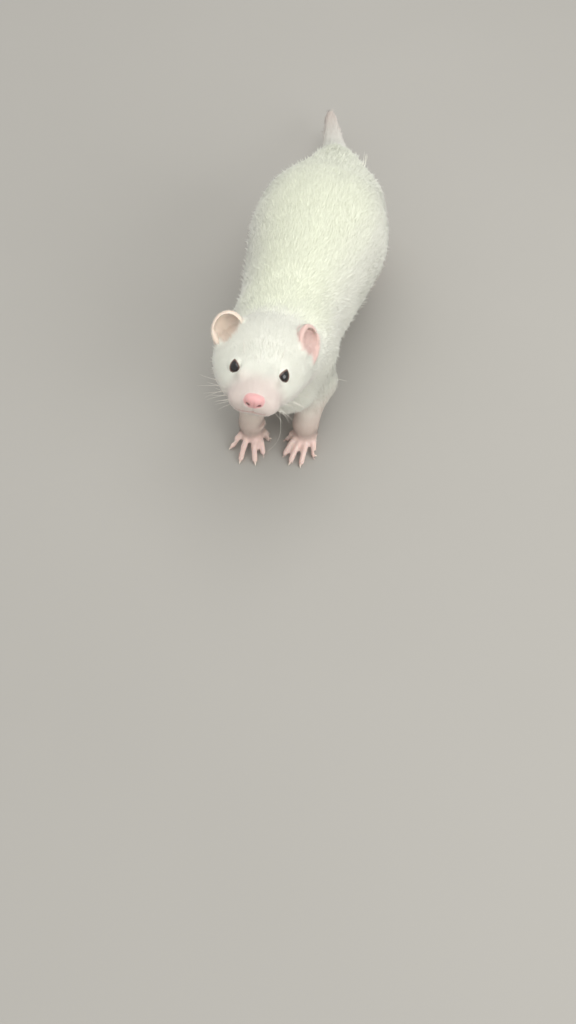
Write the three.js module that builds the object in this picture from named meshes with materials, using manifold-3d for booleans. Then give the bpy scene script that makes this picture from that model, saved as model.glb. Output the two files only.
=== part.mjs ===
// A dark-eyed white ferret, life size, standing with its head raised and its tail laid out behind.
// Millimetres. The animal faces -Y, its left side is towards +X, and the floor is the plane z = 0.
// The outlines are those of the coat. Bare parts, such as the nose, the toes and the claws, are as they are.

import * as THREE from "three";
import { mergeVertices } from "three/addons/utils/BufferGeometryUtils.js";
import Module from "manifold-3d";

const wasm = await Module();
wasm.setup();

// The gap between touching parts, and the two sides of the body
const GAP = 0.3;
const SIDES = { right: -1, left: 1 };

// The head: its place is the point midway between the eyes, and its turn is in degrees
const EYES_AT = [-6.2, -82, 106];
const HEAD_TURN = { noseUp: 25, leftDown: 8, toLeft: 3 };

// Sections of the head from the nose to the nape, in the head's own frame. An egg is wider below.
const HEAD = [
  { y: -23.4, half: 0, top: -8, bottom: -8, egg: 0.05 },
  { y: -21.6, half: 6.8, top: -3.2, bottom: -13.6, egg: 0.1 },
  { y: -17, half: 10.6, top: -0.6, bottom: -16.6, egg: 0.16 },
  { y: -10, half: 15.2, top: 2.2, bottom: -19.6, egg: 0.22 },
  { y: -2, half: 20.2, top: 5.2, bottom: -22, egg: 0.24 },
  { y: 7, half: 24.8, top: 9.4, bottom: -23, egg: 0.22 },
  { y: 16, half: 27, top: 12.8, bottom: -23.5, egg: 0.2 },
  { y: 26, half: 27.4, top: 13.6, bottom: -23.5, egg: 0.16 },
  { y: 36, half: 25, top: 11, bottom: -22, egg: 0.1 },
  { y: 45, half: 18, top: 6, bottom: -18, egg: 0 },
  { y: 51, half: 0, top: -5, bottom: -5, egg: 0 },
];

// Eye, lid and nose sizes
const EYE = { radius: 5.3, at: [11.9, 2.0, -1.5], gaze: [0.52, -0.64, 0.56], dish: 5.5, dishAway: 8.4 };
const LID = { thickness: 0.5, long: 8.2, high: 10 };
const NOSE = { at: [0, -21.8, -5.9], wide: 11.8, high: 8.4, deep: 6.2 };
const NOSTRIL = { apart: 5.6, long: 2.6, high: 1.7 };

// The hollow in the head before each ear, then an ear, as a cup leaning back, and where each one stands and
// how far it turns and leans outwards
const EAR_HOLLOW = { at: [0, -2.6, -0.5], half: [8.2, 6.4, 10] };
const EAR = { wide: 21, deep: 11.5, tall: 24, wall: 1.9, leanBack: 30, foldRadius: 1.5 };
const EAR_PLACE = {
  right: { at: [-21.6, 24, 7.6], outwards: 14, leanOut: 10 },
  left: { at: [24.6, 24.6, 8.8], outwards: 54, leanOut: -12 },
};

// Sections of the torso from chest to rump, and of the tail from root to tip
const TORSO = [
  { y: -68, x: -4, half: 0, top: 68, bottom: 68 },
  { y: -60, x: -4, half: 19, top: 84, bottom: 47 },
  { y: -45, x: -3, half: 28, top: 98, bottom: 33 },
  { y: -25, x: -2.8, half: 31.2, top: 106, bottom: 30 },
  { y: 0, x: 0.3, half: 36.3, top: 111, bottom: 29 },
  { y: 25, x: 3.3, half: 41.6, top: 115, bottom: 30 },
  { y: 50, x: 4.8, half: 44.6, top: 117, bottom: 32 },
  { y: 70, x: 4.6, half: 41.6, top: 113, bottom: 34 },
  { y: 88, x: 5, half: 35, top: 104, bottom: 37 },
  { y: 104, x: 6, half: 28.4, top: 94.5, bottom: 42 },
  { y: 118, x: 6, half: 20, top: 86, bottom: 50 },
  { y: 130, x: 4, half: 0, top: 70, bottom: 70 },
];
const TAIL = [
  { y: 98, x: 4.5, half: 10, top: 92, bottom: 73 },
  { y: 118, x: 3.5, half: 10.4, top: 84, bottom: 63 },
  { y: 134, x: 1, half: 9.8, top: 76.2, bottom: 56.6 },
  { y: 152, x: -1, half: 9, top: 64.8, bottom: 46.6 },
  { y: 172, x: -4.8, half: 8, top: 52.8, bottom: 36.6 },
  { y: 194, x: -8.6, half: 7, top: 40.8, bottom: 26.6 },
  { y: 213, x: -12.4, half: 5.8, top: 32, bottom: 20.4 },
  { y: 226, x: -15.2, half: 4.2, top: 26.6, bottom: 18.2 },
  { y: 231, x: -16.4, half: 2.4, top: 24, bottom: 19.2 },
  { y: 234, x: -17, half: 0, top: 21.4, bottom: 21.4 },
];

// The breast hangs low between the forelegs
const BREAST = { at: [3.5, -51, 43], half: [16, 12.5, 14.5] };

// The neck runs from inside the chest to the back of the skull, this far either side of its middle
const NECK = { from: [-3, -36, 78], fromRadius: 26, to: [-6.4, -58, 91], toRadius: 18.5, aside: 5 };

// Fore and hind limbs, joint by joint
const FORELEG = {
  right: {
    shoulder: [-20, -34, 62],
    elbow: [-22, -32, 34],
    wrist: [-18.8, -60, 15],
    sole: [-18.4, -63, 5.2],
  },
  left: {
    shoulder: [14, -32, 62],
    elbow: [20.5, -32, 34],
    wrist: [16.6, -54, 15],
    sole: [17.4, -58, 5.2],
  },
  shoulderRadius: 15.5,
  elbowRadius: 11.5,
  wristRadius: 7.6,
};
const HINDLEG = {
  right: { hip: [-17, 84, 68], knee: [-26, 58, 46], hock: [-24, 104, 20], sole: [-25, 83, 6.2] },
  left: { hip: [23, 86, 68], knee: [31.5, 62, 46], hock: [28, 112, 20], sole: [27, 92, 6.2] },
  hipRadius: 19,
  kneeRadius: 15,
  hockRadius: 7.5,
};

// Toes: root and tip of each, counted from the outer side of the foot to the thumb
const FORE_TOES = {
  right: [
    { root: [-24.0, -64.0], tip: [-29.6, -73.2] },
    { root: [-20.8, -66.0], tip: [-22.1, -82.0] },
    { root: [-16.6, -66.0], tip: [-12.7, -81.4] },
    { root: [-13.0, -64.5], tip: [-8.6, -74.4] },
    { root: [-12.4, -60.0], tip: [-7.2, -62.8] },
  ],
  left: [
    { root: [22.4, -58.0], tip: [25.2, -69.6] },
    { root: [19.0, -61.0], tip: [18.2, -77.2] },
    { root: [15.0, -61.0], tip: [11.0, -77.0] },
    { root: [12.2, -59.5], tip: [6.4, -72.2] },
    { root: [11.6, -56.0], tip: [5.8, -60.6] },
  ],
};
const HIND_TOE_REACH = [13, 18, 19, 15, 8];
const HIND_TOE_SPREAD = [8.6, 4.4, -0.2, -4.6, -8];
const TOE = { rootRadius: 2.3, knuckleRadius: 2.2, tipRadius: 2.2, rootHeight: 6, arch: 1.4, press: 0.2 };
const TOE_BLEND = 1;
const PALM = [8.2, 6.4, 5.4];
const CLAW = { reach: 2.9, rootRadius: 1.05, tipRadius: 0.35, sides: 6, rings: 3 };

const vec = (list) => new THREE.Vector3(...list);
const degrees = THREE.MathUtils.degToRad;

// Rounded forms: each is a function of a point, negative inside and about the distance outside

function oval({ at, half }) {
  const centre = vec(at);
  const radii = vec(half);
  const q = new THREE.Vector3();
  const w = new THREE.Vector3();
  return (p) => {
    q.subVectors(p, centre).divide(radii);
    w.copy(q).divide(radii);
    const k = q.length();
    return k < 1e-6 ? -Math.min(...half) : (k * (k - 1)) / w.length();
  };
}

function limb(from, fromRadius, to, toRadius) {
  const start = vec(from);
  const along = vec(to).sub(start);
  const q = new THREE.Vector3();
  return (p) => {
    q.subVectors(p, start);
    const t = THREE.MathUtils.clamp(q.dot(along) / along.lengthSq(), 0, 1);
    return q.addScaledVector(along, -t).length() - THREE.MathUtils.lerp(fromRadius, toRadius, t);
  };
}

// A form with an upright oval section at each place along y, smooth between the sections given
function loft(sections) {
  const samples = sections.flatMap(({ x = 0, half, top, bottom, egg = 0 }) => [
    x,
    (top + bottom) / 2,
    half ** 2,
    ((top - bottom) / 2) ** 2,
    egg,
  ]);
  const places = sections.map(({ y }) => y);
  const track = new THREE.CubicInterpolant(places, samples, 5);
  const [first, last] = [places[0], places.at(-1)];
  const section = ({ x, z }, y) => {
    const [middle, height, wide, high, egg] = track.evaluate(y);
    const b = Math.sqrt(Math.max(high, 0.01));
    const v = (z - height) / b;
    const a = Math.sqrt(Math.max(wide, 0.01)) * (1 - egg * THREE.MathUtils.clamp(v, -1, 1));
    const u = (x - middle) / a;
    const k = Math.hypot(u, v);
    return k < 1e-6 ? -Math.min(a, b) : (k * (k - 1)) / Math.hypot(u / a, v / b);
  };
  const step = 0.5;
  return (p) => {
    const y = THREE.MathUtils.clamp(p.y, first, last);
    const here = section(p, y);
    const slope = (section(p, y + (y < (first + last) / 2 ? step : -step)) - here) / step;
    return here / Math.hypot(1, THREE.MathUtils.clamp(slope, -1, 1)) + Math.abs(p.y - y);
  };
}

function smoothMin(a, b, width) {
  const h = Math.max(width - Math.abs(a - b), 0) / width;
  return Math.min(a, b) - (h * h * width) / 4;
}

const join = (width, forms) => (p) => forms.reduce((d, form) => smoothMin(d, form(p), width), Infinity);
const carve = (width, form, hollow) => (p) => -smoothMin(-form(p), hollow(p), width);

function placed(matrix, form) {
  const inverse = matrix.clone().invert();
  const q = new THREE.Vector3();
  return (p) => form(q.copy(p).applyMatrix4(inverse));
}

// The head's own frame: x to the left, y to the back and z to the crown
const { noseUp, leftDown, toLeft } = HEAD_TURN;
const headFrame = new THREE.Matrix4()
  .makeRotationFromEuler(new THREE.Euler(-degrees(noseUp), degrees(leftDown), degrees(toLeft), "ZYX"))
  .setPosition(vec(EYES_AT));

function pair(form) {
  return Object.values(SIDES).map((side) => form(side));
}

const eyePlace = (side) => [side * EYE.at[0], EYE.at[1], EYE.at[2]];
const eyeGaze = (side) => vec([side * EYE.gaze[0], EYE.gaze[1], EYE.gaze[2]]).normalize();

function earFrame(name) {
  const side = SIDES[name];
  const { at, outwards, leanOut } = EAR_PLACE[name];
  const angles = [-degrees(EAR.leanBack), side * degrees(leanOut), side * degrees(outwards)];
  const turn = new THREE.Quaternion().setFromEuler(new THREE.Euler(...angles, "XYZ"));
  return new THREE.Matrix4().compose(vec(at), turn, new THREE.Vector3(1, 1, 1));
}

// The head: skull and muzzle, brows, whisker pads and chin, with a shallow dish round each eye and a
// hollow before each ear
function headForms() {
  const solid = join(4, [
    loft(HEAD),
    ...pair((s) => oval({ at: [s * 9.2, -2, 0.6], half: [4.8, 8, 4.2] })),
    ...pair((s) => oval({ at: [s * 7, -14.6, -10.8], half: [7.2, 7.6, 5.8] })),
    limb([0, 2, -15], 10, [0, -13.5, -14.6], 4.4),
  ]);
  const dishes = pair((s) => {
    const at = vec(eyePlace(s)).addScaledVector(eyeGaze(s), EYE.dishAway);
    return oval({ at: at.toArray(), half: Array(3).fill(EYE.dish) });
  });
  const hollows = Object.keys(SIDES).map((name) => placed(earFrame(name), oval(EAR_HOLLOW)));
  return carve(1.5, carve(3, solid, join(1, dishes)), join(1, hollows));
}

// The legs
function foreleg(name) {
  const { shoulder, elbow, wrist, sole } = FORELEG[name];
  const { shoulderRadius, elbowRadius, wristRadius } = FORELEG;
  return join(6, [
    limb(shoulder, shoulderRadius, elbow, elbowRadius),
    limb(elbow, elbowRadius, wrist, wristRadius),
    limb(wrist, wristRadius, [sole[0], sole[1], sole[2] + 2], 6),
  ]);
}

function hindleg(name) {
  const { hip, knee, hock, sole } = HINDLEG[name];
  const { hipRadius, kneeRadius, hockRadius } = HINDLEG;
  return join(8, [
    limb(hip, hipRadius, knee, kneeRadius),
    limb(knee, kneeRadius, hock, hockRadius),
    limb([hock[0], hock[1] - 3, hock[2] - 7], 6.8, sole, 6.8),
  ]);
}

function toes(list) {
  return list.map(({ root, tip }) => {
    const start = [...root, TOE.rootHeight];
    const end = [...tip, TOE.tipRadius - TOE.press];
    const knuckle = start.map((value, i) => THREE.MathUtils.lerp(value, end[i], 0.5));
    knuckle[2] += TOE.arch;
    return join(TOE_BLEND, [
      limb(start, TOE.rootRadius, knuckle, TOE.knuckleRadius),
      limb(knuckle, TOE.knuckleRadius, end, TOE.tipRadius),
    ]);
  });
}

function hindToes(name) {
  const [x, y] = HINDLEG[name].sole;
  return HIND_TOE_REACH.map((reach, i) => {
    const across = SIDES[name] * HIND_TOE_SPREAD[i];
    return { root: [x + across * 0.6, y - 2], tip: [x + across * 1.15, y - reach] };
  });
}

const palm = (at) => oval({ at, half: PALM });

// The whole coat, from the smooth union of all its forms
const TOE_LISTS = {
  forepaw_right: FORE_TOES.right,
  forepaw_left: FORE_TOES.left,
  hindpaw_right: hindToes("right"),
  hindpaw_left: hindToes("left"),
};

const neckForms = pair((s) => {
  const aside = ([x, y, z]) => [x + s * NECK.aside, y, z];
  return limb(aside(NECK.from), NECK.fromRadius, aside(NECK.to), NECK.toRadius);
});
const headForm = placed(headFrame, headForms());
const trunk = join(12, [loft(TORSO), oval(BREAST), ...neckForms, headForm, loft(TAIL)]);
const legs = Object.keys(SIDES).flatMap((name) => [
  join(4, [foreleg(name), palm(FORELEG[name].sole)]),
  join(5, [hindleg(name), palm(HINDLEG[name].sole)]),
]);
const body = join(10, [trunk, ...legs]);
const coat = join(1.2, [body, ...Object.values(TOE_LISTS).flatMap(toes)]);

// Lays one vertex in each cell of a grid that the surface crosses, and one face over each crossed edge
function meshOf(form, box, { cell, tolerance }) {
  const size = box.getSize(new THREE.Vector3());
  const count = size.toArray().map((length) => Math.ceil(length / cell));
  const stride = [1, count[0] + 1, (count[0] + 1) * (count[1] + 1)];
  const corner = (i, j, k) => new THREE.Vector3(i, j, k).multiplyScalar(cell).add(box.min);
  const values = new Float64Array(stride[2] * (count[2] + 1));
  const onBorder = (index) => index.some((value, axis) => value === 0 || value === count[axis]);
  const eachIndex = (limit, visit) => {
    for (let k = 0; k < limit[2]; k++)
      for (let j = 0; j < limit[1]; j++) for (let i = 0; i < limit[0]; i++) visit([i, j, k]);
  };
  const flat = ([i, j, k]) => i + j * stride[1] + k * stride[2];
  eachIndex(
    count.map((n) => n + 1),
    (index) => {
      const value = form(corner(...index));
      values[flat(index)] = onBorder(index) ? Math.max(value, cell / 4) : value;
    },
  );

  // Where only two opposite corners of a grid face are inside, the surface would be pinched to a line.
  // The shallower of the two is taken out.
  for (let pinched = true; pinched; ) {
    pinched = false;
    eachIndex(count, (index) => {
      for (let axis = 0; axis < 3; axis++) {
        const [b, c] = [stride[(axis + 1) % 3], stride[(axis + 2) % 3]];
        const here = flat(index);
        const ring = [here, here + b, here + b + c, here + c];
        const inner = ring.filter((i) => values[i] < 0);
        if (inner.length !== 2 || ring.indexOf(inner[1]) - ring.indexOf(inner[0]) !== 2) continue;
        values[values[inner[0]] > values[inner[1]] ? inner[0] : inner[1]] = cell / 20;
        pinched = true;
      }
    });
  }

  const vertexOf = new Map();
  const points = [];
  eachIndex(count, (index) => {
    const sum = new THREE.Vector3();
    let crossings = 0;
    for (let e = 0; e < 12; e++) {
      const axis = e >> 2;
      const start = [...index];
      start[(axis + 1) % 3] += e & 1;
      start[(axis + 2) % 3] += (e >> 1) & 1;
      const end = [...start];
      end[axis] += 1;
      const [a, b] = [values[flat(start)], values[flat(end)]];
      if (a < 0 === b < 0) continue;
      sum.add(corner(...start).lerp(corner(...end), a / (a - b)));
      crossings++;
    }
    if (!crossings) return;
    vertexOf.set(flat(index), points.length);
    points.push(settle(sum.divideScalar(crossings), form, cell / 2));
  });

  const triangles = [];
  for (let axis = 0; axis < 3; axis++) {
    const [b, c] = [(axis + 1) % 3, (axis + 2) % 3];
    eachIndex(count, (index) => {
      if (!index[b] || !index[c]) return;
      const here = flat(index);
      const inside = values[here] < 0;
      if (inside === values[here + stride[axis]] < 0) return;
      const ring = [here - stride[b] - stride[c], here - stride[c], here, here - stride[b]];
      const quad = ring.map((cellIndex) => vertexOf.get(cellIndex));
      if (!inside) quad.reverse();
      const [p, q, r, s] = quad.map((v) => points[v]);
      if (p.distanceTo(r) > q.distanceTo(s)) quad.push(quad.shift());
      triangles.push(quad[0], quad[1], quad[2], quad[0], quad[2], quad[3]);
    });
  }
  const light = simplified(points, triangles, tolerance);
  return new wasm.Manifold(
    new wasm.Mesh({
      numProp: 3,
      vertProperties: new Float32Array(light.points.flatMap((point) => point.toArray())),
      triVerts: new Uint32Array(light.triangles),
    }),
  );
}

// How the meshes are made lighter: the share of the tolerance in each pass, the cosine of the most that
// a face may turn, the least ratio of a face's doubled area to the sum of its squared sides, and the
// length below which an edge goes whatever its faces are
const LIGHTER = {
  passes: [0.1, 0.2, 0.3, 0.45, 0.6, 0.8, 1, 1],
  leastCosine: 0.6,
  leastFatness: 0.12,
  shortEdge: 0.05,
};

// Merges the ends of edges, flattest first, while the surface moves by less than the tolerance
function simplified(points, triangles, tolerance) {
  const faces = [];
  for (let i = 0; i < triangles.length; i += 3) faces.push(triangles.slice(i, i + 3));
  const facesAt = points.map(() => new Set());
  faces.forEach((face, f) => face.forEach((v) => facesAt[v].add(f)));
  const normalOf = ([a, b, c]) => b.clone().sub(a).cross(c.clone().sub(a));
  const corners = (face) => face.map((v) => points[v]);

  // For each vertex, the summed squares of the distance to the planes of its faces
  const planes = points.map(() => ({
    square: new THREE.Matrix3().multiplyScalar(0),
    linear: new THREE.Vector3(),
    rest: 0,
    area: 0,
  }));
  for (const face of faces) {
    const normal = normalOf(corners(face));
    const area = normal.length() / 2;
    normal.normalize();
    const offset = -normal.dot(points[face[0]]);
    for (const v of face) addPlane(planes[v], normal, offset, area);
  }

  const tryMerge = (a, b, limit) => {
    const shared = [...facesAt[a]].filter((f) => facesAt[b].has(f));
    const neighbours = (v) => new Set([...facesAt[v]].flatMap((f) => faces[f]));
    const aroundB = neighbours(b);
    const common = [...neighbours(a)].filter((v) => v !== a && v !== b && aroundB.has(v));
    if (shared.length !== 2 || common.length !== 2) return;
    const sum = summed(planes[a], planes[b]);
    const ends = [points[a], points[b]].sort((p, q) => meanSquare(sum, p) - meanSquare(sum, q));
    const short = ends[0].distanceTo(ends[1]) < LIGHTER.shortEdge;
    const place = short ? ends[0] : bestPlace(sum, ends[0].clone().lerp(ends[1], 0.5));
    if (!short && meanSquare(sum, place) > limit) return;
    for (const f of new Set([...facesAt[a], ...facesAt[b]])) {
      if (short || shared.includes(f)) continue;
      const before = normalOf(corners(faces[f]));
      const moved = faces[f].map((v) => (v === a || v === b ? place : points[v]));
      const after = normalOf(moved);
      const lengths = moved.reduce((total, p, i) => total + p.distanceToSquared(moved[(i + 1) % 3]), 0);
      if (after.dot(before) < LIGHTER.leastCosine * after.length() * before.length()) return;
      if (after.length() < LIGHTER.leastFatness * lengths) return;
    }
    for (const f of shared) {
      for (const v of faces[f]) facesAt[v].delete(f);
      faces[f] = null;
    }
    for (const f of facesAt[b]) {
      faces[f] = faces[f].map((v) => (v === b ? a : v));
      facesAt[a].add(f);
    }
    facesAt[b] = new Set();
    points[a] = place;
    planes[a] = sum;
  };

  for (const share of LIGHTER.passes) {
    const limit = (tolerance * share) ** 2;
    for (let f = 0; f < faces.length; f++)
      for (let e = 0; e < 3 && faces[f]; e++) tryMerge(faces[f][e], faces[f][(e + 1) % 3], limit);
  }
  const kept = new Map();
  const numbered = faces
    .filter(Boolean)
    .flat()
    .map((v) => kept.get(v) ?? kept.set(v, kept.size).get(v));
  return { points: [...kept.keys()].map((v) => points[v]), triangles: numbered };
}

function addPlane(sum, normal, offset, area) {
  const e = sum.square.elements;
  const n = normal.toArray();
  for (let i = 0; i < 9; i++) e[i] += n[i % 3] * n[Math.floor(i / 3)] * area;
  sum.linear.addScaledVector(normal, offset * area);
  sum.rest += offset * offset * area;
  sum.area += area;
}

function summed(one, other) {
  const square = new THREE.Matrix3();
  square.elements = one.square.elements.map((value, i) => value + other.square.elements[i]);
  return {
    square,
    linear: one.linear.clone().add(other.linear),
    rest: one.rest + other.rest,
    area: one.area + other.area,
  };
}

function meanSquare({ square, linear, rest, area }, p) {
  return (p.dot(p.clone().applyMatrix3(square)) + 2 * linear.dot(p) + rest) / Math.max(area, 1e-9);
}

// The place nearest to all the planes, drawn a little towards the middle of the edge
function bestPlace({ square, linear, area }, middle) {
  const pull = area * 1e-3 + 1e-12;
  const system = square.clone();
  for (const i of [0, 4, 8]) system.elements[i] += pull;
  return middle.clone().multiplyScalar(pull).sub(linear).applyMatrix3(system.invert());
}

// Moves a point onto the surface of a form, but no further than the given reach
function settle(point, form, reach) {
  const step = 0.05;
  const value = form(point);
  const slope = new THREE.Vector3();
  for (const axis of ["x", "y", "z"]) {
    const aside = point.clone();
    aside[axis] += step;
    slope[axis] = (form(aside) - value) / step;
  }
  const move = slope.multiplyScalar(-value / Math.max(slope.lengthSq(), 1e-6));
  return point.add(move.clampLength(0, reach));
}

const boxAround = (low, high) => new THREE.Box3(vec(low), vec(high));

function solidOf(geometry, matrix = new THREE.Matrix4()) {
  const plain = geometry.index ? geometry.toNonIndexed() : geometry.clone();
  const bare = new THREE.BufferGeometry().setAttribute("position", plain.getAttribute("position"));
  const merged = mergeVertices(bare.applyMatrix4(matrix), 1e-4);
  return new wasm.Manifold(
    new wasm.Mesh({
      numProp: 3,
      vertProperties: new Float32Array(merged.attributes.position.array),
      triVerts: new Uint32Array(merged.index.array),
    }),
  );
}

// A ball stretched to half sizes and turned by a frame
function stretchedBall(at, half, turn = new THREE.Quaternion(), detail = 4) {
  const matrix = new THREE.Matrix4().compose(vec(at), turn, vec(half));
  return solidOf(new THREE.IcosahedronGeometry(1, detail), matrix);
}

// A large block with one face at a point, reaching the way that the direction points
function halfSpace(at, direction, reach = 400) {
  const way = vec(direction).normalize();
  const turn = new THREE.Quaternion().setFromUnitVectors(new THREE.Vector3(0, 0, 1), way);
  const centre = vec(at).addScaledVector(way, reach / 2);
  const matrix = new THREE.Matrix4().compose(centre, turn, new THREE.Vector3(1, 1, 1));
  return solidOf(new THREE.BoxGeometry(reach, reach, reach), matrix);
}

function largest(solid) {
  const pieces = solid.decompose();
  return pieces.reduce((best, piece) => (piece.volume() > best.volume() ? piece : best));
}

const MATERIALS = {
  coat: new THREE.MeshStandardMaterial({ color: "#f1efe2", roughness: 0.9, metalness: 0 }),
  face: new THREE.MeshStandardMaterial({ color: "#f3efe4", roughness: 0.85, metalness: 0 }),
  nose: new THREE.MeshStandardMaterial({ color: "#e8a3a1", roughness: 0.45, metalness: 0 }),
  ear: new THREE.MeshStandardMaterial({ color: "#efd0c6", roughness: 0.8, metalness: 0 }),
  paw: new THREE.MeshStandardMaterial({ color: "#ecd2c8", roughness: 0.75, metalness: 0 }),
  eye: new THREE.MeshStandardMaterial({ color: "#17100f", roughness: 0.08, metalness: 0 }),
};

const ferret = new THREE.Group();

function addPart(name, solid, material, parent = ferret) {
  const { numVert, numProp, vertProperties, triVerts } = largest(solid).getMesh();
  const place = (_, i) => new THREE.Vector3().fromArray(vertProperties, i * numProp);
  const cut = Array.from({ length: numVert }, place);
  const { points, triangles } = simplified(cut, [...triVerts], MESH.seams.tolerance);
  const geometry = new THREE.BufferGeometry().setFromPoints(points).setIndex(triangles);
  geometry.computeVertexNormals();
  const part = new THREE.Mesh(geometry, material);
  part.name = name;
  parent.add(part);
  return part;
}

// Flat cuts between one part and the next, each with the way towards its far side
const CUTS = {
  nape: { at: [-6, -54.5, 86], way: [0, -0.87, 0.49] },
  withers: { at: [-4, -42, 85], way: [0, -0.66, 0.75] },
  rump: { at: [2, 124, 70], way: [-0.15, 0.86, -0.5] },
};

function beyond({ at, way }, gap = 0) {
  const shifted = vec(at).addScaledVector(vec(way).normalize(), gap);
  return halfSpace(shifted.toArray(), way);
}

function before({ at, way }, gap = 0) {
  return beyond({ at, way: way.map((value) => -value) }, gap);
}

// How fine each mesh is before it is made lighter, and how far that may move it, also once it is cut
const MESH = {
  torso: { cell: 4.6, tolerance: 0.24 },
  neck: { cell: 3.5, tolerance: 0.2 },
  tail: { cell: 2.6, tolerance: 0.16 },
  foreleg: { cell: 2.6, tolerance: 0.18 },
  hindleg: { cell: 3, tolerance: 0.2 },
  paw: { cell: 1.05, tolerance: 0.13 },
  head: { cell: 1.9, tolerance: 0.1 },
  nose: { cell: 0.7, tolerance: 0.05 },
  ear: { cell: 0.65, tolerance: 0.07 },
  seams: { tolerance: 0.02 },
};

// Each leg is what lies inside a long ball set along it
function legRegion(kind, name, grow = 0) {
  if (kind === "foreleg") {
    const { shoulder, wrist } = FORELEG[name];
    const centre = vec(wrist).lerp(vec(shoulder), 0.55);
    centre.x += SIDES[name] * 5;
    return stretchedBall(centre.toArray(), [18 + grow, 34 + grow, 42 + grow], undefined, 3);
  }
  const { hip, hock } = HINDLEG[name];
  const centre = vec(hock).lerp(vec(hip), 0.45);
  centre.x += SIDES[name] * 8;
  centre.y -= 16;
  return stretchedBall(centre.toArray(), [23 + grow, 40 + grow, 42 + grow], undefined, 3);
}

function pawCut(kind, name) {
  return kind === "foreleg"
    ? { at: [FORELEG[name].wrist[0], FORELEG[name].wrist[1], 16], way: [0, -0.35, -1] }
    : { at: [HINDLEG[name].hock[0], HINDLEG[name].hock[1], 17], way: [0, -0.3, -1] };
}

const FLOOR = halfSpace([0, 0, 0], [0, 0, -1]);
const GROUND = 0.03;

function torso() {
  let solid = meshOf(coat, boxAround([-62, -82, 16], [70, 142, 130]), MESH.torso)
    .intersect(before(CUTS.withers, GAP / 2))
    .intersect(before(CUTS.rump, GAP / 2));
  for (const name of Object.keys(SIDES))
    for (const kind of ["foreleg", "hindleg"]) solid = solid.subtract(legRegion(kind, name, GAP));
  addPart("torso", solid, MATERIALS.coat);
}

function neck() {
  const solid = meshOf(coat, boxAround([-46, -100, 40], [40, -4, 130]), MESH.neck)
    .intersect(beyond(CUTS.withers, GAP / 2))
    .intersect(before(CUTS.nape, GAP / 2));
  addPart("neck", solid, MATERIALS.coat);
}

function tail() {
  const solid = meshOf(coat, boxAround([-36, 104, 8], [30, 244, 104]), MESH.tail).intersect(
    beyond(CUTS.rump, GAP / 2),
  );
  addPart("tail", solid, MATERIALS.coat);
}

function legPart(kind, name) {
  const at = kind === "foreleg" ? FORELEG[name].wrist : HINDLEG[name].hock;
  const low = [at[0] - 34, at[1] - (kind === "foreleg" ? 26 : 70), -4];
  const high = [at[0] + 34, at[1] + (kind === "foreleg" ? 56 : 34), 112];
  const solid = meshOf(coat, boxAround(low, high), MESH[kind])
    .intersect(legRegion(kind, name))
    .intersect(before(pawCut(kind, name), GAP / 2))
    .intersect(before(CUTS.withers, GAP / 2));
  addPart(`${kind}_${name}`, solid, MATERIALS.coat);
}

// A claw: a cone that curves down to the floor from the toe's tip
function claw({ root, tip }) {
  const out = new THREE.Vector3(tip[0] - root[0], tip[1] - root[1], 0).normalize();
  const start = new THREE.Vector3(tip[0], tip[1], TOE.tipRadius + 0.4).addScaledVector(out, 0.6);
  const middle = start.clone().addScaledVector(out, CLAW.reach * 0.55);
  middle.z += 0.2;
  const end = start.clone().addScaledVector(out, CLAW.reach);
  end.z = 0.45;
  const path = new THREE.QuadraticBezierCurve3(start, middle, end);
  const side = new THREE.Vector3(-out.y, out.x, 0);
  const positions = [];
  const index = [];
  for (let r = 0; r <= CLAW.rings; r++) {
    const centre = path.getPoint(r / CLAW.rings);
    const up = new THREE.Vector3().crossVectors(path.getTangent(r / CLAW.rings), side).normalize().negate();
    const radius = THREE.MathUtils.lerp(CLAW.rootRadius, CLAW.tipRadius, r / CLAW.rings);
    for (let s = 0; s < CLAW.sides; s++) {
      const angle = (s / CLAW.sides) * 2 * Math.PI;
      const point = centre.clone().addScaledVector(side, Math.cos(angle) * radius * 0.8);
      positions.push(...point.addScaledVector(up, Math.sin(angle) * radius).toArray());
    }
  }
  const ends = [0, 1].map((t) => positions.push(...path.getPoint(t).toArray()) / 3 - 1);
  for (let s = 0; s < CLAW.sides; s++) {
    const next = (s + 1) % CLAW.sides;
    for (let r = 0; r < CLAW.rings; r++) {
      const [a, b] = [r * CLAW.sides + s, r * CLAW.sides + next];
      index.push(a, b, b + CLAW.sides, a, b + CLAW.sides, a + CLAW.sides);
    }
    const last = CLAW.rings * CLAW.sides;
    index.push(ends[0], next, s, ends[1], last + s, last + next);
  }
  const geometry = new THREE.BufferGeometry();
  geometry.setAttribute("position", new THREE.Float32BufferAttribute(positions, 3));
  geometry.setIndex(index);
  const solid = solidOf(geometry);
  if (solid.volume() > 0) return solid;
  geometry.setIndex(index.toReversed());
  return solidOf(geometry);
}

function paw(kind, name) {
  const list = TOE_LISTS[`${kind === "foreleg" ? "forepaw" : "hindpaw"}_${name}`];
  const box = new THREE.Box3();
  for (const { root, tip } of list) box.expandByPoint(vec([...root, 0])).expandByPoint(vec([...tip, 20]));
  const heel = kind === "foreleg" ? FORELEG[name].wrist : HINDLEG[name].hock;
  box.expandByPoint(vec([heel[0], heel[1] + 8, 26]));
  box.min.z = -5;
  box.expandByVector(new THREE.Vector3(9, 6, 0));
  let solid = meshOf(coat, box, MESH.paw)
    .intersect(beyond(pawCut(kind, name), GAP / 2))
    .subtract(FLOOR);
  for (const toe of list) solid = solid.add(claw(toe));
  const part = addPart(`${kind === "foreleg" ? "forepaw" : "hindpaw"}_${name}`, solid, MATERIALS.paw);

  // The making of lighter meshes lifts some corners of the sole a little off the floor
  const { position } = part.geometry.attributes;
  for (let i = 0; i < position.count; i++) if (position.getZ(i) < GROUND) position.setZ(i, 0);
}

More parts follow.
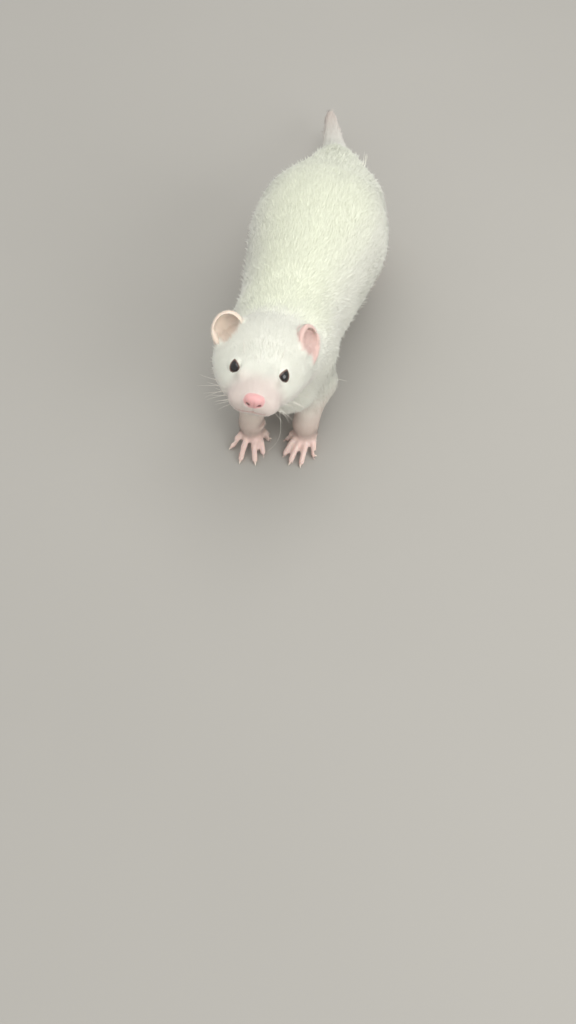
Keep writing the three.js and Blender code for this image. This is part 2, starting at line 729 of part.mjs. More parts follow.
// The head and what is set on it, built in the head's own frame
const head = new THREE.Group();
head.applyMatrix4(headFrame);
ferret.add(head);
const coatOfHead = placed(headFrame.clone().invert(), coat);

const eyeBall = (side, radius) => stretchedBall(eyePlace(side), Array(3).fill(radius), undefined, 3);

// The opening between the lids: a drop, round at the front corner and pointed at the upper rear one
function lidOpening(side) {
  const { long, high } = LID;
  const [front, rear] = [-0.46 * long, 0.54 * long];
  const drop = new THREE.Shape();
  drop.moveTo(rear, 0);
  drop.bezierCurveTo(rear * 0.4, high * 0.6, front, high * 0.75, front, 0);
  drop.bezierCurveTo(front, -high * 0.75, rear * 0.4, -high * 0.6, rear, 0);
  const geometry = new THREE.ExtrudeGeometry(drop, { depth: 12, bevelEnabled: false, curveSegments: 7 });
  const gaze = eyeGaze(side);
  const upAndBack = new THREE.Vector3(0, 0.6, 0.8);
  const along = upAndBack.addScaledVector(gaze, -upAndBack.dot(gaze)).normalize();
  const across = new THREE.Vector3().crossVectors(gaze, along);
  const matrix = new THREE.Matrix4().makeBasis(along, across, gaze).setPosition(vec(eyePlace(side)));
  return solidOf(geometry, matrix);
}

// A point on the face, found by walking outwards from inside the head
function onFace(from, way) {
  const point = vec(from);
  const step = vec(way).normalize().multiplyScalar(0.25);
  while (coatOfHead(point) < 0) point.add(step);
  return point;
}

// The line between the lips, from one corner of the mouth round the muzzle to the other
function mouthLine() {
  const points = [];
  const count = 8;
  for (let i = -count; i <= count; i++) {
    const share = Math.abs(i) / count;
    const turn = (i / count) * degrees(108);
    const from = [0, -7 + 4 * share ** 2, -12.2 - 3.8 * share ** 2 + 1.2 * (1 - share) ** 2];
    points.push(onFace(from, [Math.sin(turn), -Math.cos(turn), -0.12]));
  }
  const path = new THREE.CatmullRomCurve3(points);
  const groove = new THREE.Shape();
  for (let i = 0; i < 5; i++) {
    const angle = (i / 5) * 2 * Math.PI;
    groove[i ? "lineTo" : "moveTo"](0.7 * Math.cos(angle), 0.7 * Math.sin(angle));
  }
  return solidOf(new THREE.ExtrudeGeometry(groove, { steps: 20, extrudePath: path, bevelEnabled: false }));
}

const HEAD_BOX = boxAround([-40, -34, -40], [40, 54, 30]);
const headSolid = (grow) => meshOf((p) => coatOfHead(p) - grow, HEAD_BOX, MESH.head);

function inHead({ at, way }) {
  const inverse = headFrame.clone().invert();
  return {
    at: vec(at).applyMatrix4(inverse).toArray(),
    way: vec(way).transformDirection(inverse).toArray(),
  };
}

// The nose pad: two wings, a groove between them down to the lip, and a nostril in each
function noseForm() {
  const { at, wide, high, deep } = NOSE;
  const [, y, z] = at;
  const pad = oval({ at, half: [wide * 0.36, deep / 2, high / 2] });
  const wings = pair((s) =>
    oval({ at: [s * wide * 0.26, y + 0.5, z + 0.1], half: [wide * 0.24, deep * 0.42, high * 0.4] }),
  );
  const groove = limb([0, y - deep / 2 - 0.5, z + 0.5], 0.4, [0, y - deep / 2 + 0.8, z - high / 2], 0.9);
  return carve(0.8, join(1.6, [pad, ...wings]), groove);
}

function noseSolid(grow) {
  const form = noseForm();
  const { at, wide, high, deep } = NOSE;
  const box = new THREE.Box3().setFromCenterAndSize(vec(at), new THREE.Vector3(wide, deep, high));
  return meshOf((p) => form(p) - grow, box.expandByScalar(2.5), MESH.nose);
}

function nostril(side) {
  const { at, high, deep } = NOSE;
  const place = [(side * NOSTRIL.apart) / 2, at[1] - deep / 2 + 0.6, at[2] - high * 0.1];
  const turn = new THREE.Quaternion().setFromEuler(new THREE.Euler(0, side * 0.5, side * 0.35));
  return stretchedBall(place, [NOSTRIL.long / 2, 1.8, NOSTRIL.high / 2], turn, 1);
}

// An ear: a rounded cup that opens forwards and outwards, with a fold at its lower outer edge
function earSolid(name) {
  const side = SIDES[name];
  const { wide, deep, tall, wall, foldRadius } = EAR;
  const bowl = oval({ at: [0, 0, 0], half: [(wide - wall) / 2, (deep - wall) / 2, (tall - wall) / 2] });
  const rim = -deep * 0.1;
  const cup = (p) => Math.hypot(bowl(p), Math.max(rim - p.y, 0)) - wall / 2;
  const fold = limb([side * 5.2, 0, -7.5], foldRadius, [side * 7.4, 0, -1], foldRadius * 0.6);
  const form = join(1.5, [cup, fold]);
  const box = new THREE.Box3().setFromCenterAndSize(vec([0, 0, 0]), vec([wide, deep, tall]));
  return meshOf(form, box.expandByScalar(2), MESH.ear).transform(earFrame(name).toArray());
}

function headParts() {
  let skull = headSolid(0).intersect(beyond(inHead(CUTS.nape), GAP / 2));
  for (const side of Object.values(SIDES))
    skull = skull
      .add(eyeBall(side, EYE.radius + GAP + LID.thickness))
      .subtract(eyeBall(side, EYE.radius + GAP))
      .subtract(lidOpening(side));
  skull = skull.subtract(mouthLine()).subtract(noseSolid(GAP));
  addPart("head", skull, MATERIALS.face, head);
  let nose = noseSolid(0);
  for (const side of Object.values(SIDES)) nose = nose.subtract(nostril(side));
  addPart("nose", nose, MATERIALS.nose, head);
  const grown = headSolid(GAP);
  for (const [name, side] of Object.entries(SIDES)) {
    addPart(`eye_${name}`, eyeBall(side, EYE.radius), MATERIALS.eye, head);
    addPart(`ear_${name}`, earSolid(name).subtract(grown), MATERIALS.ear, head);
  }
}

torso();
neck();
tail();
for (const name of Object.keys(SIDES))
  for (const kind of ["foreleg", "hindleg"]) {
    legPart(kind, name);
    paw(kind, name);
  }
headParts();

// The origin is on the floor under the middle of the whole animal
ferret.updateMatrixWorld(true);
const bounds = new THREE.Box3().setFromObject(ferret, true);
const middle = bounds.getCenter(new THREE.Vector3());
ferret.position.set(-middle.x, -middle.y, -bounds.min.z);

export default ferret;
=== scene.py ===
import math

import bpy
import numpy as np
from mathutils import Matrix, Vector
from mathutils.bvhtree import BVHTree


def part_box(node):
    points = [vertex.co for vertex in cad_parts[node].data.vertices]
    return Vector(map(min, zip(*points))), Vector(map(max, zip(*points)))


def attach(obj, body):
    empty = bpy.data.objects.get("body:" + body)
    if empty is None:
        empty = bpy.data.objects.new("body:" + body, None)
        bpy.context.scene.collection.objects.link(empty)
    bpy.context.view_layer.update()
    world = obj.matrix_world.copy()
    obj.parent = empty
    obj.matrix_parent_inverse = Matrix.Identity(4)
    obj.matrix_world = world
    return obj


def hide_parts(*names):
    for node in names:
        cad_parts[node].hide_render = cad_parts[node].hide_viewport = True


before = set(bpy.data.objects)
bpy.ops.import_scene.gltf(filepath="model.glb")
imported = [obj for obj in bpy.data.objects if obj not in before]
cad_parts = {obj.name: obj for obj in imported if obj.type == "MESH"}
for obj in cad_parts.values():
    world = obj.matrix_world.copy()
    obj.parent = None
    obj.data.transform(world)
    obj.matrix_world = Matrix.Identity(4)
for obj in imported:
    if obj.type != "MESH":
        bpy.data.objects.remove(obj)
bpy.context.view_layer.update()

# The whole animal
# A dark-eyed white ferret, life size, in one still pose. It faces -Y, its left side is towards +X and it
# stands on z = 0. Sizes named here in millimetres are turned to metres by MM.
MM = 0.001
SIDES = {"right": -1, "left": 1}
chance = np.random.default_rng(7)


def middle_of(name):
    low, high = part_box(name)
    return np.array((low + high) / 2)


def unit(vectors):
    return vectors / np.maximum(np.linalg.norm(vectors, axis=-1, keepdims=True), 1e-12)


# The head's own frame
# Read from the eyes and the nose: x to the animal's left, y to the back of the skull, z to the crown.
# Its origin is midway between the eyes, and the nose lies a little below their level.
NOSE_DIP = math.radians(10.5)
eye_at = {side: middle_of(f"eye_{side}") for side in SIDES}
eyes_at = (eye_at["left"] + eye_at["right"]) / 2
head_x = unit(eye_at["left"] - eye_at["right"])
to_nose = middle_of("nose") - eyes_at
to_nose = unit(to_nose - head_x * (to_nose @ head_x))
above_nose = -np.cross(head_x, to_nose)
head_y = -math.cos(NOSE_DIP) * to_nose - math.sin(NOSE_DIP) * above_nose
head_z = -math.sin(NOSE_DIP) * to_nose + math.cos(NOSE_DIP) * above_nose
head_axes = np.array([head_x, head_y, head_z])


def in_head(points):
    """Points of the model's frame, in the head's own frame and in millimetres."""
    return (points - eyes_at) @ head_axes.T / MM


def from_head(points):
    return np.asarray(points) * MM @ head_axes + eyes_at


# The photographer's view
# A phone held half a metre above the boards, in front of the animal and a little to its left, looking
# down. The place is given from the eyes, and the lens is for a picture whose long side is upright.
CAMERA_FROM_EYES = np.array([68.7, -269.6, 396.2]) * MM
CAMERA_HEADING = np.array([-0.1908, 0.9816])
CAMERA_DOWN = math.radians(64.3)
camera = bpy.data.objects.new("camera", bpy.data.cameras.new("camera"))
camera.data.sensor_width = 36
camera.data.lens = 29.95
camera.data.clip_start = 0.01
camera.location = eyes_at + CAMERA_FROM_EYES
looking = Vector((*(CAMERA_HEADING * math.cos(CAMERA_DOWN)), -math.sin(CAMERA_DOWN)))
camera.rotation_euler = looking.to_track_quat("-Z", "Y").to_euler()
bpy.context.scene.collection.objects.link(camera)
bpy.context.scene.camera = camera

# The skin
# One closed surface over the whole body, out to the roots of the fur. It is made from the frame's own
# solids, grown until they meet, fused, smoothed, and then drawn in by the depth of the coat.
VOXEL = 0.5 * MM
GROWN = 0.3 * MM
PARTS = [
    # node, depth of the coat in millimetres, rounds of smoothing
    ("head", 1.1, 8),
    ("nose", 0, 4),
    ("eye_right", 0, 4),
    ("eye_left", 0, 4),
    ("ear_right", 0.3, 5),
    ("ear_left", 0.3, 5),
    ("neck", 1.8, 40),
    ("torso", 2.0, 60),
    ("tail", 1.8, 30),
    ("foreleg_right", 1.3, 30),
    ("foreleg_left", 1.3, 30),
    ("forepaw_right", 0.35, 4),
    ("forepaw_left", 0.35, 4),
    ("hindleg_right", 1.5, 30),
    ("hindleg_left", 1.5, 30),
    ("hindpaw_right", 0.35, 4),
    ("hindpaw_left", 0.35, 4),
]
NAMES = [name for name, _, _ in PARTS]


def arrays_of(mesh):
    """The points and the triangles of a mesh."""
    points = np.empty((len(mesh.vertices), 3), np.float32)
    mesh.vertices.foreach_get("co", points.ravel())
    mesh.calc_loop_triangles()
    faces = np.empty((len(mesh.loop_triangles), 3), np.int32)
    mesh.loop_triangles.foreach_get("vertices", faces.ravel())
    return points.astype(float), faces


def welded(points, faces):
    _, first, same = np.unique(np.round(points, 7), axis=0, return_index=True, return_inverse=True)
    return points[first], same.reshape(-1)[faces]


def summed_at(index, values, count):
    return np.stack([np.bincount(index, column, count) for column in values.T], 1)


def normals_of(points, faces):
    corners = points[faces]
    across = np.cross(corners[:, 1] - corners[:, 0], corners[:, 2] - corners[:, 0])
    return unit(summed_at(faces.ravel(), np.repeat(across, 3, axis=0), len(points)))


def new_object(name, points, faces):
    mesh = bpy.data.meshes.new(name)
    mesh.vertices.add(len(points))
    mesh.vertices.foreach_set("co", np.asarray(points, np.float32).ravel())
    mesh.loops.add(faces.size)
    mesh.loops.foreach_set("vertex_index", np.asarray(faces, np.int32).ravel())
    mesh.polygons.add(len(faces))
    mesh.polygons.foreach_set("loop_start", np.arange(0, faces.size, faces.shape[1], dtype=np.int32))
    mesh.update(calc_edges=True)
    mesh.shade_smooth()
    made = bpy.data.objects.new(name, mesh)
    bpy.context.scene.collection.objects.link(made)
    return made


def applied(thing):
    """The mesh of an object with its modifiers applied, as arrays. The object itself goes."""
    seen = thing.evaluated_get(bpy.context.evaluated_depsgraph_get())
    result = arrays_of(seen.to_mesh())
    mesh = thing.data
    bpy.data.objects.remove(thing)
    bpy.data.meshes.remove(mesh)
    return result


def edges_of(faces):
    ends = np.sort(np.concatenate([faces[:, [0, 1]], faces[:, [1, 2]], faces[:, [2, 0]]]), axis=1)
    return np.unique(ends, axis=0)


def smoothed(values, edges, rounds):
    """Values at the vertices, each moved to the mean of its neighbours once for each of its rounds."""
    a, b = edges.T
    count = np.bincount(edges.ravel(), minlength=len(values))[:, None]
    rounds = np.broadcast_to(rounds, len(values))[:, None]
    for turn in range(int(rounds.max())):
        around = summed_at(a, values[b], len(values)) + summed_at(b, values[a], len(values))
        values = values + np.clip(rounds - turn, 0, 1) * (around / count - values)
    return values


solids = []
for name in NAMES:
    points, faces = welded(*arrays_of(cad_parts[name].data))
    solids.append((points + normals_of(points, faces) * GROWN, faces))
starts = np.cumsum([0] + [len(points) for points, _ in solids])
flesh_points = np.concatenate([points for points, _ in solids])
flesh_faces = np.concatenate([faces + start for (_, faces), start in zip(solids, starts)])
flesh_part = np.repeat(np.arange(len(solids)), [len(faces) for _, faces in solids])
flesh = BVHTree.FromPolygons(flesh_points.tolist(), flesh_faces.tolist())


def part_at(points):
    """For each point, the number of the frame's node that it lies on or nearest to."""
    return np.array([flesh_part[flesh.find_nearest(point)[2]] for point in points.tolist()])


fused = new_object("skin", flesh_points, flesh_faces)
remesh = fused.modifiers.new("fused", "REMESH")
remesh.mode = "VOXEL"
remesh.voxel_size = VOXEL
skin_points, skin_faces = applied(fused)
edges = edges_of(skin_faces)
part = part_at(skin_points)
ROUNDS_BLEND = 12
rounds = np.array([row[2] for row in PARTS], float)[part][:, None]
rounds = smoothed(rounds, edges, ROUNDS_BLEND)[:, 0]
skin_points = smoothed(skin_points, edges, rounds)

# Under the long coat the surface needs few triangles, so it is made lighter there
KEPT_SHARE, LONG_COAT_ROUNDS = 0.3, 20
fused = new_object("skin", skin_points, skin_faces)
light = fused.vertex_groups.new(name="under the coat")
covered = np.isin(part, [NAMES.index(name) for name in ("neck", "torso", "tail")])
light.add(np.flatnonzero(covered | (rounds > LONG_COAT_ROUNDS)).tolist(), 1.0, "REPLACE")
lighter = fused.modifiers.new("lighter", "DECIMATE")
lighter.ratio = KEPT_SHARE
lighter.vertex_group = light.name
skin_points, skin_faces = applied(fused)
edges = edges_of(skin_faces)
part = part_at(skin_points)

# How much each vertex belongs to each node, with soft borders between them
BORDER_ROUNDS = 10
share = smoothed(np.eye(len(NAMES))[part], edges, BORDER_ROUNDS)


def share_of(*names):
    return share[:, [NAMES.index(name) for name in names]].sum(1)


def ramp(values, low, high):
    """From 0 at low to 1 at high, smooth at both ends."""
    t = np.clip((values - low) / (high - low), 0, 1)
    return t * t * (3 - 2 * t)


# The coat is deepest on the nape and back. It is hardly there at the nose and round the eyes, and thins
# out down each leg to the paw. Places behind the eyes and reaches are in millimetres of the head's frame.
DEPTH_BLEND, DEPTH_LAST_BLEND = 30, 6
NOSE_DEPTH, NAPE_DEPTH_MORE, NOSE_TO_NAPE = 0.3, 0.9, (-20, 20)
EYE_BARE = (4.5, 9)
LEG_THINNED, LEG_THINS = 0.78, (42 * MM, 14 * MM)
local = in_head(skin_points)
eye_local = {side: in_head(eye_at[side]) for side in SIDES}
depth = smoothed(share @ np.array([[row[1]] for row in PARTS], float), edges, DEPTH_BLEND)[:, 0]
depth *= 1 - share_of("head") * (1 - NOSE_DEPTH - NAPE_DEPTH_MORE * ramp(local[:, 1], *NOSE_TO_NAPE))
for at in eye_local.values():
    depth *= ramp(np.linalg.norm(local - at, axis=1), *EYE_BARE)
legs = share_of("foreleg_right", "foreleg_left", "hindleg_right", "hindleg_left")
depth *= 1 - LEG_THINNED * legs * ramp(skin_points[:, 2], *LEG_THINS)
depth = smoothed(depth[:, None], edges, DEPTH_LAST_BLEND)[:, 0]
normals = normals_of(skin_points, skin_faces)
skin_points = skin_points - normals * (depth * MM + GROWN)[:, None]
local = in_head(skin_points)

# The lids
# Folds of thin skin that close on the ball round an opening shaped as a drop: round at the inner corner
# and pointed at the upper rear one. The skin is drawn onto the ball around it, and behind it within.
GAZE = unit(np.array([0.52, -0.64, 0.56]))
LID_LONG, LID_WIDE, LID_POINT, LID_STEPS = 3.7, 3.5, 1.15, 48
LID_UP = np.array([0.34, 0.55, 0.76])
LID_REACH, LID_BEHIND, FAR = 12, -1, 99.0
# The skin stands off the ball at the opening, rises behind it, and has a furrow round the rise
LID_THICK, LID_RISE, LID_FURROW = 0.35, 0.5, 0.35
LID_RISES, FURROW_STARTS, FURROW_ENDS = (0, 2.5), (2, 3), (3, 4.5)
SOCKET_SHARE = 0.86
ball_radius = (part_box("eye_left")[1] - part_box("eye_left")[0])[0] / 2 / MM


def eye_frame(side):
    """The gaze of an eye and the two directions across it, along the opening and over it."""
    gaze = GAZE * [SIDES[side], 1, 1]
    along = LID_UP * [SIDES[side], 1, 1]
    along = unit(along - gaze * (along @ gaze))
    return gaze, along, np.cross(gaze, along)


turn = np.linspace(0, 2 * np.pi, LID_STEPS, endpoint=False)
lid_along = LID_LONG * np.cos(turn)
lid_over = LID_WIDE * np.sin(turn) * np.sin(turn / 2) ** LID_POINT
lid_outline = np.stack([lid_along, lid_over], 1)


def outside_outline(points, outline):
    """Signed distance to a closed outline in the plane, negative inside it."""
    starts, ends = outline, np.roll(outline, -1, axis=0)
    sides = ends - starts
    offset = points[:, None] - starts
    t = np.clip((offset * sides).sum(2) / (sides**2).sum(1), 0, 1)
    distance = np.linalg.norm(offset - t[..., None] * sides, axis=2).min(1)
    above = (starts[:, 1] > points[:, None, 1]) != (ends[:, 1] > points[:, None, 1])
    with np.errstate(divide="ignore", invalid="ignore"):
        crossing = starts[:, 0] + (points[:, None, 1] - starts[:, 1]) * sides[:, 0] / sides[:, 1]
    inside = (above & (points[:, None, 0] < crossing)).sum(1) % 2 == 1
    return np.where(inside, -distance, distance)


from_lid = np.full(len(local), FAR)
for side in SIDES:
    gaze, along, over = eye_frame(side)
    offset = local - eye_local[side]
    reach = np.linalg.norm(offset, axis=1)
    near = np.flatnonzero((reach < LID_REACH) & (offset @ gaze > LID_BEHIND))
    flat = np.stack([offset[near] @ along, offset[near] @ over], 1)
    gap = outside_outline(flat, lid_outline)
    lid = ball_radius + LID_THICK + LID_RISE * ramp(gap, *LID_RISES)
    lid -= LID_FURROW * ramp(gap, *FURROW_STARTS) * (1 - ramp(gap, *FURROW_ENDS))
    within = np.minimum(reach[near], SOCKET_SHARE * ball_radius)
    pushed = np.where(gap > 0, np.maximum(reach[near], lid), within)
    local[near] = eye_local[side] + offset[near] * (pushed / reach[near])[:, None]
    from_lid[near] = np.minimum(from_lid[near], gap)

# The nose, the lips and the line of the mouth
# A bare pad with two comma-shaped nostrils and a groove down its middle, and below it the closed lips,
# which part along a line that runs round the muzzle and back under each cheek.
NOSTRIL_APART, NOSTRIL_LONG, NOSTRIL_HIGH, NOSTRIL_DEEP = 6.0, 2.6, 1.7, 1.8
NOSTRIL_DROP, NOSTRIL_SLANT, NOSTRIL_FRONT = 1.9, 0.35, 1.5
GROOVE_HALF, GROOVE_DEEP, GROOVE_FRONT = 0.5, 0.45, 3
GROOVE_FOOT, GROOVE_TOP = (-8.5, -7), (1.2, 0)
nose_at = in_head(middle_of("nose"))
on_nose = local - nose_at
in_nostril = np.zeros(len(local))
for side in SIDES.values():
    x = side * (on_nose[:, 0] - side * NOSTRIL_APART / 2)
    z = on_nose[:, 2] + NOSTRIL_DROP - NOSTRIL_SLANT * x
    hollow = 1 - (2 * x / NOSTRIL_LONG) ** 2 - (2 * z / NOSTRIL_HIGH) ** 2
    hollow = np.sqrt(np.clip(hollow, 0, 1)) * (on_nose[:, 1] < NOSTRIL_FRONT)
    local[:, 1] += NOSTRIL_DEEP * hollow
    in_nostril = np.maximum(in_nostril, hollow)
groove = np.clip(1 - np.abs(on_nose[:, 0]) / GROOVE_HALF, 0, 1)
groove *= ramp(on_nose[:, 2], *GROOVE_FOOT) * ramp(on_nose[:, 2], *GROOVE_TOP)
local[:, 1] += GROOVE_DEEP * groove * (on_nose[:, 1] < GROOVE_FRONT)

# The line of the mouth is where rays fanned out from inside the muzzle leave the skin. It is a crease,
# with a lip swelling beside it.
MOUTH_TURN, MOUTH_RAYS, MOUTH_DIP = math.radians(106), 61, -0.12
MOUTH_PLACE, MOUTH_BACK = -9, 4
MOUTH_HEIGHT, MOUTH_FALL, LIP_ARCH = -10.7, 3.8, 1.2
MUZZLE_BACK, MUZZLE_TOP = 12, -4
CREASE_DEEP, LIP_SWELL, LIP_FROM, LIP_TO = -0.9, 0.12, (0.6, 1.4), (3, 1.4)
before_crease = BVHTree.FromPolygons(local.tolist(), skin_faces.tolist())
mouth = []
for step in np.linspace(-1, 1, MOUTH_RAYS):
    back = abs(step)
    height = MOUTH_HEIGHT - MOUTH_FALL * back**2 + LIP_ARCH * (1 - back) ** 2
    way = (math.sin(step * MOUTH_TURN), -math.cos(step * MOUTH_TURN), MOUTH_DIP)
    mouth.append(before_crease.ray_cast((0, MOUTH_PLACE + MOUTH_BACK * back**2, height), way)[0])
mouth = np.array(mouth)
muzzle = np.flatnonzero((local[:, 1] < MUZZLE_BACK) & (local[:, 2] < MUZZLE_TOP))
from_mouth = np.full(len(local), FAR)
from_mouth[muzzle] = np.linalg.norm(local[muzzle, None] - mouth, axis=2).min(1)
normals = normals_of(local, skin_faces)
crease = CREASE_DEEP * np.clip(1 - from_mouth, 0, 1) ** 2
crease += LIP_SWELL * ramp(from_mouth, *LIP_FROM) * ramp(from_mouth, *LIP_TO)
local += normals * crease[:, None]
skin_points = from_head(local)

# The claws
# Short, pale, curved and blunt, as a ferret can't draw them in. Each is set at a point found far out on the
# paw, over skin made blunt for it. Ten of the twenty points found are not the end of a toe, so ten claws
# are out of place, and the toes without one keep a thin spur of skin.
PAWS = [f"{pair}paw_{side}" for pair in ("fore", "hind") for side in SIDES]
CLAWS, CLAW_LONG, CLAW_THICK, CLAW_THIN, CLAW_HIGH = 5, 3.3, 0.95, 0.06, 1.15
CLAW_STEPS, CLAW_SIDES = 9, 8
CLAW_ROOT_AT, CLAW_CURVE, CLAW_BEND = 1.9, 1.5, 2.2
TOE_FRONT_SHARE, TOE_LOW, TOES_APART, TOE_REACH = 0.66, 4 * MM, 4.2 * MM, 7 * MM
BLUNT_REACH, BLUNT_BACK = 3.6 * MM, 2.0 * MM


def claws_of(paw):
    """Five points far out on a paw, and the way that a claw set at each points."""
    points = welded(*arrays_of(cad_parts[paw].data))[0]
    low, high = (np.array(corner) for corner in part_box(paw))
    in_front = points[:, 1] < low[1] + TOE_FRONT_SHARE * (high[1] - low[1])
    ahead = points[in_front & (points[:, 2] < TOE_LOW)]
    reach = np.linalg.norm((ahead - points.mean(0))[:, :2], axis=1)
    found = []
    for i in np.argsort(-reach):
        if len(found) < CLAWS and all(np.linalg.norm(ahead[i] - tip) > TOES_APART for tip, _ in found):
            toe = points[np.linalg.norm(points - ahead[i], axis=1) < TOE_REACH].mean(0)
            way = ahead[i] - toe
            found.append((ahead[i], unit(np.array([way[0], way[1], 0]))))
    return found


def swept(path, radii, sides, flat=1.0):
    """Points and triangles of a closed tube along a path, of the given radii, flat times as high as wide."""
    path, radii = np.asarray(path, float), np.asarray(radii, float)
    ways = unit(np.gradient(path, axis=0))
    across = unit(np.cross(ways, [0.05, 0.1, 1]))
    up = np.cross(across, ways)
    angle = np.linspace(0, 2 * np.pi, sides, endpoint=False)
    rings = path[:, None] + radii[:, None, None] * (
        across[:, None] * np.cos(angle)[:, None] + flat * up[:, None] * np.sin(angle)[:, None]
    )
    points = np.concatenate([rings.reshape(-1, 3), path[[0, -1]]])
    i, j = np.meshgrid(np.arange(len(path) - 1), np.arange(sides), indexing="ij")
    a, b = (i * sides + j).ravel(), (i * sides + (j + 1) % sides).ravel()
    ends = np.arange(sides)
    last = (len(path) - 1) * sides
    faces = np.concatenate([
        np.stack([a, b, b + sides], 1),
        np.stack([a, b + sides, a + sides], 1),
        np.stack([np.full(sides, len(points) - 2), (ends + 1) % sides, ends], 1),
        np.stack([np.full(sides, len(points) - 1), last + ends, last + (ends + 1) % sides], 1),
    ])
    return points, faces


def together(pieces):
    """Several meshes, given as points and faces, as one."""
    starts = np.cumsum([0] + [len(points) for points, _ in pieces])
    return (
        np.concatenate([points for points, _ in pieces]),
        np.concatenate([faces + start for (_, faces), start in zip(pieces, starts)]),
    )


def linear(colour):
    """A colour given as sRGB hex, or a list of them, in the linear values that the shaders work in."""
    values = np.array([[int(c[i : i + 2], 16) / 255 for i in (1, 3, 5)] for c in np.atleast_1d(colour)])
    values = np.where(values <= 0.04045, values / 12.92, ((values + 0.055) / 1.055) ** 2.4)
    return values[0] if isinstance(colour, str) else values


def rgba(colour):
    return (*linear(colour), 1)


def add(tree, kind, inputs, **settings):
    """Adds a node with its settings, and its inputs as numbers or as sockets to link."""
    made = tree.nodes.new(kind)
    for name, value in settings.items():
        setattr(made, name, value)
    for name, value in inputs.items():
        if isinstance(value, bpy.types.NodeSocket):
            tree.links.new(value, made.inputs[name])
        else:
            made.inputs[name].default_value = value
    return made


def new_material(name):
    material = bpy.data.materials.new(name)
    material.use_nodes = True
    material.node_tree.nodes.clear()
    return material, material.node_tree


def finished(tree, inputs):
    """Ends a material in one principled shader."""
    shader = add(tree, "ShaderNodeBsdfPrincipled", inputs)
    add(tree, "ShaderNodeOutputMaterial", {"Surface": shader.outputs[0]})


def keep_values(thing, name, values):
    """Stores one number or one colour for each point, for the material to read."""
    values = np.asarray(values, np.float32)
    if values.ndim == 1:
        thing.data.attributes.new(name, "FLOAT", "POINT").data.foreach_set("value", values)
    else:
        colours = np.concatenate([values, np.ones((len(values), 1), np.float32)], 1)
        thing.data.attributes.new(name, "FLOAT_COLOR", "POINT").data.foreach_set("color", colours.ravel())


def mixed(tree, factor, low, high):
    """The socket of a colour between two, each given as hex or as a socket."""
    ends = {key: rgba(value) if isinstance(value, str) else value for key, value in (("A", low), ("B", high))}
    return add(tree, "ShaderNodeMix", {"Factor": factor, **ends}, data_type="RGBA").outputs["Result"]


def noise(tree, size, detail):
    """The socket of a fine random pattern, with its blotches this many millimetres across."""
    return add(tree, "ShaderNodeTexNoise", {"Scale": 1 / (size * MM), "Detail": detail}).outputs["Fac"]


def bumped(tree, height, strength, distance):
    inputs = {"Height": height, "Strength": strength, "Distance": distance * MM}
    return add(tree, "ShaderNodeBump", inputs).outputs["Normal"]


def scaled(tree, colour, factor):
    inputs = {0: colour, "Scale": factor}
    return add(tree, "ShaderNodeVectorMath", inputs, operation="SCALE").outputs["Vector"]


def ranged(tree, value, low, high, start=0.0, end=1.0):
    """The socket of a value that goes from low to high as the given one goes from start to end."""
    inputs = {"Value": value, "From Min": start, "From Max": end, "To Min": low, "To Max": high}
    return add(tree, "ShaderNodeMapRange", inputs).outputs["Result"]


def stored(tree, name):
    return add(tree, "ShaderNodeAttribute", {}, attribute_name=name)


# Horn, translucent and pale, pinker where it leaves the toe
horn, tree = new_material("claw horn")
grain = noise(tree, 0.4, 2.0)
tone = mixed(tree, stored(tree, "along").outputs["Fac"], "#dbb5a8", "#efe6d6")
finished(tree, {"Base Color": tone, "Roughness": 0.35, "Normal": bumped(tree, grain, 0.25, 0.05)})

for paw in PAWS:
    pieces = []
    for tip, way in claws_of(paw):
        ahead = (skin_points - tip) @ way
        at_tip = (np.linalg.norm(skin_points - tip, axis=1) < BLUNT_REACH) & (ahead > -BLUNT_BACK)
        skin_points[at_tip] -= way * (ahead[at_tip] + BLUNT_BACK)[:, None]
        t = np.linspace(0, 1, CLAW_STEPS)[:, None]
        root = tip - way * CLAW_LONG * MM
        path = root + way * CLAW_LONG * MM * t
        path[:, 2] = (CLAW_ROOT_AT - CLAW_CURVE * t[:, 0] ** CLAW_BEND) * MM
        radii = CLAW_THICK * MM * (1 - t[:, 0] ** 1.6) ** 0.7
        pieces.append(swept(path, np.maximum(radii, CLAW_THIN * MM), CLAW_SIDES, CLAW_HIGH))
    claws = new_object(f"claws_{paw}", *together(pieces))
    keep_values(claws, "along", np.tile(np.append(np.repeat(t[:, 0], CLAW_SIDES), [0, 1]), len(pieces)))
    claws.data.materials.append(horn)
    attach(claws, "root")

# The skin is made now that its shape is whole. What the fur covers is white like it, but darker and pinker
# low on the body, with thin fur there and painted shade. The nose, lips, lids, inner ears and toes are bare
# or nearly so, and pink with the blood below.
normals = normals_of(skin_points, skin_faces)
local = in_head(skin_points)
TONES = {
    "coat": "#f9f9eb",
    "spine": "#f5f8e0",
    "cheek": "#f7f2e8",
    "muzzle": "#eddfd5",
    "tail": "#f4ede0",
    "nose": "#e7b1ae",
    # The right ear's hollow and rim are paler than the left ear's: painted light over the shade in its dish
    "ear_right": "#f6e4d2",
    "ear_left": "#f7d6cb",
    # darker pinkish beige low on the body: partly pink skin under thin fur near the paws, partly painted
    # shade
    "wrist_and_low_shade": "#e6d2c5",
    "toe": "#f6dbd0",
    "lip": "#c98d87",
    "lid": "#94705f",
    # painted shade inside the nostrils
    "nostril_depth_shade": "#6b3f3c",
}


def blended(colours, name, amount):
    return colours + np.clip(amount, 0, 1)[:, None] * (linear(TONES[name]) - colours)


